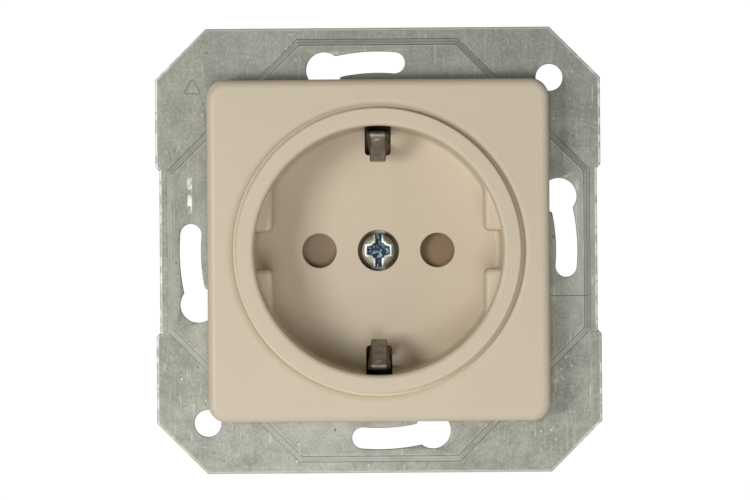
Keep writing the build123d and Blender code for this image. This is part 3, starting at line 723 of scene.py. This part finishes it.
lip = [(SHELL, LIP_BACK), (22.5, LIP_BACK), (LIP_OUT, -8.25)]
lip += arc_between((LIP_OUT, -9.72), (22.27, FLANGE_FRONT), (22.27, -9.72), 5)
lip += arc_between((20.42, FLANGE_FRONT), (RIM, -9.40), (20.42, -9.40), 8)
lip += [(wall_radius(depth), depth) for depth in (-8.5, COVER_INSIDE)]
wall = [(wall_radius(depth), depth) for depth in (COVER_INSIDE, -3.0, 1.0, 4.5)]
floor_radius = wall_radius(FLOOR) - FLOOR_ROLL
wall += arc_between(
    (wall_radius(FLOOR - FLOOR_ROLL), FLOOR - FLOOR_ROLL), (floor_radius, FLOOR),
    (floor_radius, FLOOR - FLOOR_ROLL), 7)
lip_rows = [whole_ring(SHELL, COVER_INSIDE, CHANNEL)]
lip_rows += [whole_ring(radius, depth, CHANNEL if radius == SHELL else SLIT) for radius, depth in lip]

outer_outline = with_slots(SHELL, CHANNEL, CHANNEL_OUT)
pin_holes = [circle(PIN_HOLE, 64, (x, 0.0)) for x in (-PIN_HALF_PITCH, PIN_HALF_PITCH)]
stakes = [circle(STAKE, 24, (0, STAKE_OUT * side)) for side in (1, -1)]
boss = circle(BOSS, 48)
well = [(WELL_MOUTH, 0.0), (3.35, 0.03), (WELL, 0.12), (WELL, WELL_DEEP), (STEM_HOLE, WELL_DEEP)]
well = [(radius, FLOOR + down) for radius, down in well] + [(STEM_HOLE, CUP_BACK)]
floor_holes = [circle(WELL_MOUTH, 64)] + [inset(hole, -PIN_ROLL) for hole in pin_holes]
cup_parts = [
    lofted(lip_rows),
    filled([with_slots(floor_radius, SLIT, SLIT_IN)] + floor_holes, face_on(FLOOR)),
    filled([with_slots(BORE, SLIT, SLIT_IN), boss] + stakes + pin_holes, face_on(UNDER)),
    filled([outer_outline, with_slots(BORE, SLIT, SLIT_OUT)], face_on(CUP_BACK)),
    lofted([at_depth(outer_outline, depth) for depth in (COVER_INSIDE, CUP_BACK)]),
    turned(well, 64),
    lofted([at_depth(boss, depth) for depth in (CUP_BACK, UNDER)]),
    filled([boss, circle(STEM_HOLE, 64)], face_on(CUP_BACK)),
]
cup_parts += [edge_of(hole, FLOOR, UNDER, PIN_ROLL, 0.0, -1, 4) for hole in pin_holes]
cheek = [(depth, sqrt(radius ** 2 - SLIT ** 2)) for radius, depth in wall]
cheek += [(FLOOR, SLIT_IN + SLIT_CORNER), (UNDER, SLIT_IN + SLIT_CORNER)]
cheek += [(depth, sqrt(BORE ** 2 - SLIT ** 2)) for depth in (UNDER, CUP_BACK)]
cheek += [(CUP_BACK, SLIT_OUT), (COVER_INSIDE, SLIT_OUT)]
for side, stake in zip((1, -1), stakes):
    left = side < 0
    slit_back = [[(x, depth, side * SLIT_OUT) for x in (-SLIT, SLIT)] for depth in (COVER_INSIDE, CUP_BACK)]
    cup_parts += [
        lofted([at_depth(stake, depth) for depth in (UNDER, CUP_BACK)]),
        filled([stake], face_on(CUP_BACK)),
        lofted([at_depth(half_ring(radius, left), depth) for radius, depth in wall], closed=False),
        lofted([at_depth(half_ring(BORE, left), depth) for depth in (UNDER, CUP_BACK)], closed=False),
        filled([np.array(cheek)], on_cheek(-SLIT, side)),
        filled([np.array(cheek)], on_cheek(SLIT, side)),
        bridged(wall_radius(COVER_INSIDE), SLIT, SLIT_OUT, COVER_INSIDE, side),
        lofted(slit_back, closed=False),
        lofted([at_depth(SLIT_END * side, depth) for depth in (FLOOR, UNDER)], closed=False),
        bridged(SHELL, CHANNEL, CHANNEL_OUT, COVER_INSIDE, side),
    ]

# four guide pads between a chord and the wall, eased along the chord and at the inner end
PAD_FRONT, PAD_EASE = -5.5, 0.8
PAD_CHORD, PAD_END, PAD_CORNER, PAD_OUT = 16.85, 3.0, 1.0, 20.95
PAD_FOOT = FLOOR + 0.4


def pad_row(inwards):
    """A pad's outline: chord, corner arc and end moved in by that much, closed by an arc inside the wall."""
    corner = polar(
        PAD_CORNER - inwards, np.linspace(pi, 1.5 * pi, 9), (PAD_CHORD + PAD_CORNER, PAD_END + PAD_CORNER))
    start, end = asin((PAD_END + inwards) / PAD_OUT), acos((PAD_CHORD + inwards) / PAD_OUT)
    return np.concatenate([corner, polar(PAD_OUT, np.linspace(start, end, 16))])


for flip in ((1, 1), (-1, 1), (-1, -1), (1, -1)):
    pad = [
        at_depth(pad_row(PAD_EASE * (1 - np.sin(t))) * flip, PAD_FRONT + PAD_EASE * (1 - np.cos(t)))
        for t in np.linspace(0, pi / 2, 9)
    ]
    foot = pad_row(0.0) * flip
    cup_parts.append(lofted(pad + [at_depth(foot, PAD_FOOT)]))
    cup_parts.append(filled([pad_row(PAD_EASE) * flip], face_on(PAD_FRONT), 1.2))
    cup_parts.append(filled([foot], face_on(PAD_FOOT)))


def painted_shade_faces(middles):
    """Painted shade on the cup's own faces: 1 in the two slits, behind the flange, where |x| is within the slit
    and
    |z| beyond the wall's foot, and 2 in the screw's well, within its radius of the middle and behind its rolled edge."""
    x, y, z = np.abs(middles[:, 0]), middles[:, 1], np.abs(middles[:, 2])
    slit = (x < SLIT + 0.005) & (z > 16.2) & (z < SLIT_OUT + 0.01) & (y > COVER_INSIDE - 0.01)
    in_well = (np.hypot(x, z) < WELL + 0.01) & (y > FLOOR + 0.05)
    return (slit + 2 * in_well) * (y < CUP_BACK - 0.05)


piece("recess_cup", cup_parts, "socket_cup", shade_lining=painted_shade_faces)

# ---------------------------------------------------------------- centre screw
HEAD, HEAD_FRONT, HEAD_BACK = 2.7, 7.95, 9.8
SLOT_FLOOR = HEAD_FRONT + 1.0
SLOT_HALF, SLOT_SUNK, SLOT_EDGE = 0.5, 0.3, 0.20
STEM, STEM_END = 1.75, 20.0
HEAD_STEPS = 26
ARM = [(SLOT_HALF, 1.9), (SLOT_HALF, 1.25), (0.8, 1.15), (1.05, 0.8), (1.85, 0.62)]
slot_side = np.array(ARM + [(x, -z) for x, z in ARM[::-1]])


def dome(flat):
    """The head's top: level out to r = 1.7, then down by 0.5 (1 - sqrt(1 - u^2)), u from 0 there to 1."""
    u = np.clip((np.linalg.norm(flat, axis=1) - 1.7) / 1.0, 0, 1)
    return at_depth(flat, HEAD_FRONT + 0.5 * (1 - np.sqrt(1 - np.minimum(u, 0.995) ** 2)))


arc_start = asin(SLOT_HALF / HEAD)
head_turn = np.linspace(-pi / 2 + arc_start, pi / 2 - arc_start, HEAD_STEPS + 1)
head_half = np.concatenate([polar(HEAD, head_turn), slot_side])
sunk_half = inset(head_half, SLOT_SUNK - SLOT_HALF)
sunk_half[1:HEAD_STEPS] = head_half[1:HEAD_STEPS]
sunk_end = sqrt(HEAD ** 2 - SLOT_SUNK ** 2)
sunk_half[[0, HEAD_STEPS]] = [(SLOT_SUNK, -sunk_end), (SLOT_SUNK, sunk_end)]


def slot_painted_light(spots):
    """Painted highlight within 0.26 of the cross and slot, whose edge runs through slot_side, painted shade
    in the slot below y = 8.3, and a little painted shade towards the head's edge."""
    x, y, z = np.abs(spots[:, 0]), spots[:, 1], spots[:, 2]
    tail = np.concatenate([[(SLOT_HALF, 2.65)], slot_side])
    run = np.concatenate([slot_side, [(SLOT_HALF, -2.65)]]) - tail
    flat = np.stack([x, z], 1)[:, None]
    share = np.clip(((flat - tail) * run).sum(2) / (run ** 2).sum(1), 0, 1)
    gap = np.linalg.norm(flat - tail - share[:, :, None] * run, axis=2).min(1)
    # painted highlight along the cross and slot, painted shade in the slot and towards the head's edge
    bright = (gap < 0.26) & (y < 8.3)
    sunk = (y > 8.3) & ((gap < 0.25) | (np.abs(y - SLOT_FLOOR) < 0.01))
    edge = 0.12 * ease(np.hypot(x, z), 2.2, 2.6) * (y < 8.9)
    return 1.0 * bright - edge - 1.0 * sunk


screw_parts = [filled([circle(HEAD, 80)], face_on(SLOT_FLOOR)), turned([
    (HEAD, SLOT_FLOOR), (HEAD, HEAD_BACK), (STEM, HEAD_BACK),
    (STEM, STEM_END - 0.4), (STEM - 0.4, STEM_END), (0.0, STEM_END),
], 80)]
for flip in (1, -1):
    outline, sunk = head_half * flip, sunk_half * flip
    slim = inset(outline, SLOT_EDGE)
    ledge = dome(slim)
    screw_parts += [filled([slim], dome, 0.25), filled([sunk], face_on(SLOT_FLOOR)), lofted([
        ledge, at_depth(inset(outline, 0.05), ledge[:, 1] + 0.06), at_depth(outline, ledge[:, 1] + 0.17),
        at_depth(sunk, HEAD_FRONT + 0.72), at_depth(sunk, SLOT_FLOOR),
    ])]
piece("centre_screw", screw_parts, "cover_screw", "cover_screw", wear_and_painted_light=slot_painted_light)


# ---------------------------------------------------------------- earth clips
CLIP_ROUTE = [
    (12.3, 17.2), (12.3, 18.55), (11.9, 18.65), (-4.4, 18.75), (-5.0, 18.5), (-4.7, 18.0),
    (-0.6, 15.1), (0.9, 14.35), (2.4, 14.6), (5.6, 16.6),
]
CLIP_NOSE, CLIP_WIDEN = 1.3, 0.5
STRIP, STRIP_EDGE, STRIP_ACROSS = 0.28, 0.22, 33


def clip_strip(side):
    """A strip carried along its route in the y-z plane, which is smoothed by repeated averaging. Its half
    width falls from 1.8 to 1.3 with |z|. Its flanks bend back by 0.45 u^2, and a tongue with a round
    upper end, a capsule about the centre line, is raised from the ramp by 0.28 with an eased edge."""
    knots = np.array(CLIP_ROUTE)
    run = np.concatenate([[0], np.cumsum(np.linalg.norm(np.diff(knots, axis=0), axis=1))])
    at = np.linspace(0, run[-1], 220)
    line = np.stack([np.interp(at, run, knots[:, k]) for k in (0, 1)], 1)
    average = np.array([1, 4, 6, 4, 1]) / 16
    for _ in range(8):
        line[2:-2] = np.stack([np.convolve(line[:, k], average, "valid") for k in (0, 1)], 1)
    way = np.gradient(line, axis=0)
    way /= np.linalg.norm(way, axis=1, keepdims=True)
    normal = np.stack([way[:, 1], -way[:, 0]], 1)
    half = CLIP_NOSE + CLIP_WIDEN * ease(line[:, 1], 15.4, 18.0)[:, None]
    across = np.linspace(-1, 1, STRIP_ACROSS)
    turn = np.linspace(-pi / 2, pi / 2, 7)[1:-1]
    flat_half = half - STRIP_EDGE
    bulge = STRIP_EDGE * np.cos(turn)
    u = np.concatenate([across * flat_half, flat_half + bulge, -across * flat_half, -flat_half - bulge], 1)
    face = np.full(STRIP_ACROSS, STRIP)
    v = np.concatenate([face, -STRIP * np.sin(turn), -face, STRIP * np.sin(turn)])
    on_ramp = ((at > run[5] - 0.6) & (at < run[7])).astype(float)[:, None]
    from_middle = np.hypot(u, np.maximum(0, line[:, 1:] - 17.0) * 1.1)
    raised = 0.28 * (1 - ease(from_middle, 0.85, 1.12)) * ease(line[:, 1:], 15.25, 15.5) * on_ramp
    bent = 0.45 * (np.maximum(0, np.abs(u) - 1.0) / 0.8) ** 2 * (at > run[4] - 1.0)[:, None]
    lift = v + raised - bent
    rows = np.stack([u, line[:, :1] + normal[:, :1] * lift, side * (line[:, 1:] + normal[:, 1:] * lift)], -1)
    end = np.arange(rows.shape[1])[None]
    return [lofted(rows), (rows[0], end), (rows[-1], end)]


for name, side in (("earth_clip_top", 1), ("earth_clip_bottom", -1)):
    piece(name + "_strip", clip_strip(side), name, name, 60.0)

# ---------------------------------------------------------------- moulded body behind the plate
def eased_copy(name, node, width):
    """A node's own solid copied and welded, flat faces joined up, and its sharp edges rolled over by width."""
    mesh = frame["nodes"][node].data.copy()
    mesh.name = name
    work = bmesh.new()
    work.from_mesh(mesh)
    bmesh.ops.remove_doubles(work, verts=work.verts, dist=WELD)
    bmesh.ops.dissolve_limit(work, angle_limit=radians(0.5), verts=work.verts, edges=work.edges)
    work.to_mesh(mesh)
    work.free()
    made = linked(name, mesh, 38.0)
    roll = made.modifiers.new("rolled_edges", "BEVEL")
    roll.width = width * MM
    roll.segments = 2
    roll.limit_method = "ANGLE"
    roll.angle_limit = radians(40)
    roll.harden_normals = True
    stands_for(made, node, "insert")


eased_copy("base_moulding", "socket_base", 0.3)
eased_copy("rear_cover_moulding", "rear_cover", 0.3)

# ---------------------------------------------------------------- floor
FLOOR_LEVEL = -0.16
floor_mesh = bpy.data.meshes.new("floor")
floor_corners = [(x, y, FLOOR_LEVEL) for x, y in ((-0.8, -0.35), (0.8, -0.35), (0.8, 1.1), (-0.8, 1.1))]
floor_mesh.from_pydata(floor_corners, [], [(0, 1, 2, 3)])
floor = bpy.data.objects.new("floor", floor_mesh)
bpy.context.scene.collection.objects.link(floor)
floor_paint = Finish("floor_paint", (0.86, 0.86, 0.85), 0.7)
floor_paint.tint(floor_paint.spread(floor_paint.noise(6.0), 0.3, 0.7, 0.0, 0.4), (0.82, 0.82, 0.81))
floor_mesh.materials.append(floor_paint.material)
